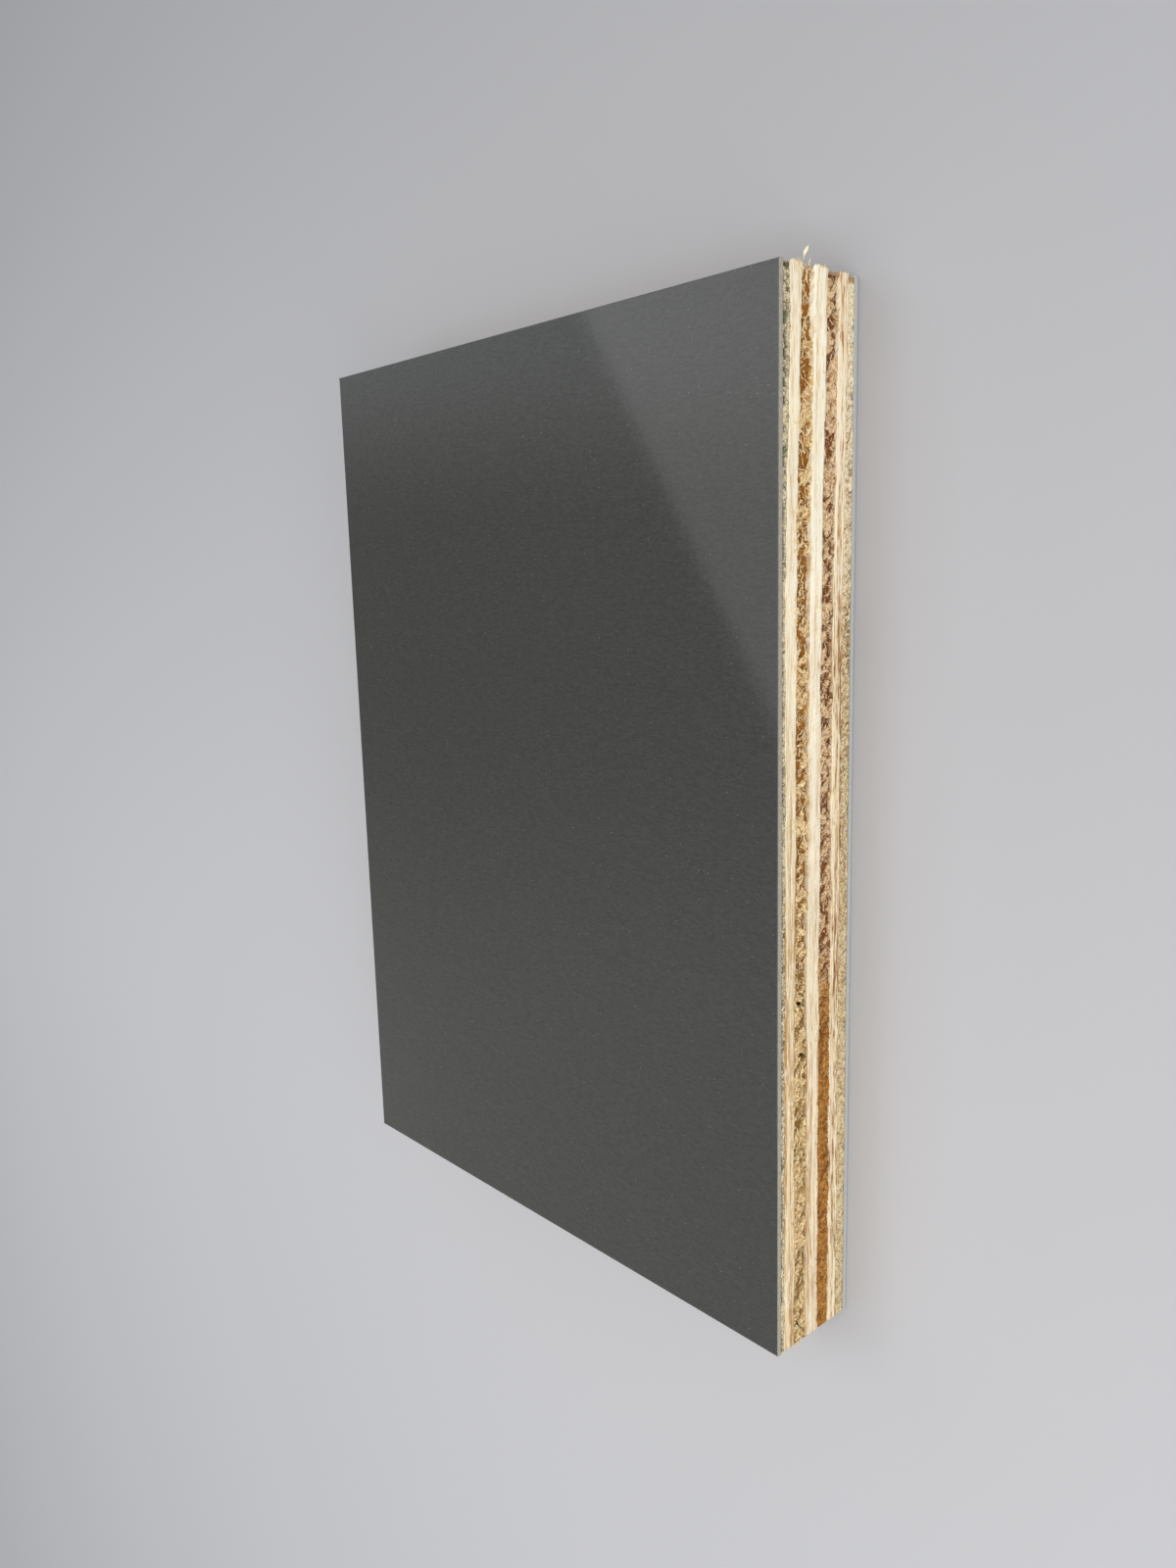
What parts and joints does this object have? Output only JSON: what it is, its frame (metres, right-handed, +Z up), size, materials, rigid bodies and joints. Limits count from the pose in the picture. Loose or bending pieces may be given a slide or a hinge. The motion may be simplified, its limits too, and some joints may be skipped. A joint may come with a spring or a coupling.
{
  "type": "plywood sheet",
  "caption": "Small flat plywood sheet: cross-laid veneers glued between two gloss grey facings, sawn flush on all edges; a building board offcut.",
  "frame": {"origin": "middle of the underside, which is the outer face of the back facing", "axes": "+Z up out of the front facing, +Y along the sheet's length, +X along its width"},
  "size_m": [0.105, 0.15, 0.0166],
  "materials": {
    "grey_facing": "gloss",
    "pale_veneer": "matte",
    "tan_veneer": "matte",
    "red_brown_veneer": "matte"
  },
  "bodies": {
    "root": {"front_facing": "grey_facing", "veneer_1_grain_across": "tan_veneer", "veneer_2_grain_along": "pale_veneer", "veneer_3_grain_across": "tan_veneer", "veneer_4_grain_along": "pale_veneer", "veneer_5_grain_across": "red_brown_veneer", "veneer_6_grain_along": "tan_veneer", "veneer_7_grain_across": "tan_veneer", "back_facing": "grey_facing"}
  },
  "joints": []
}
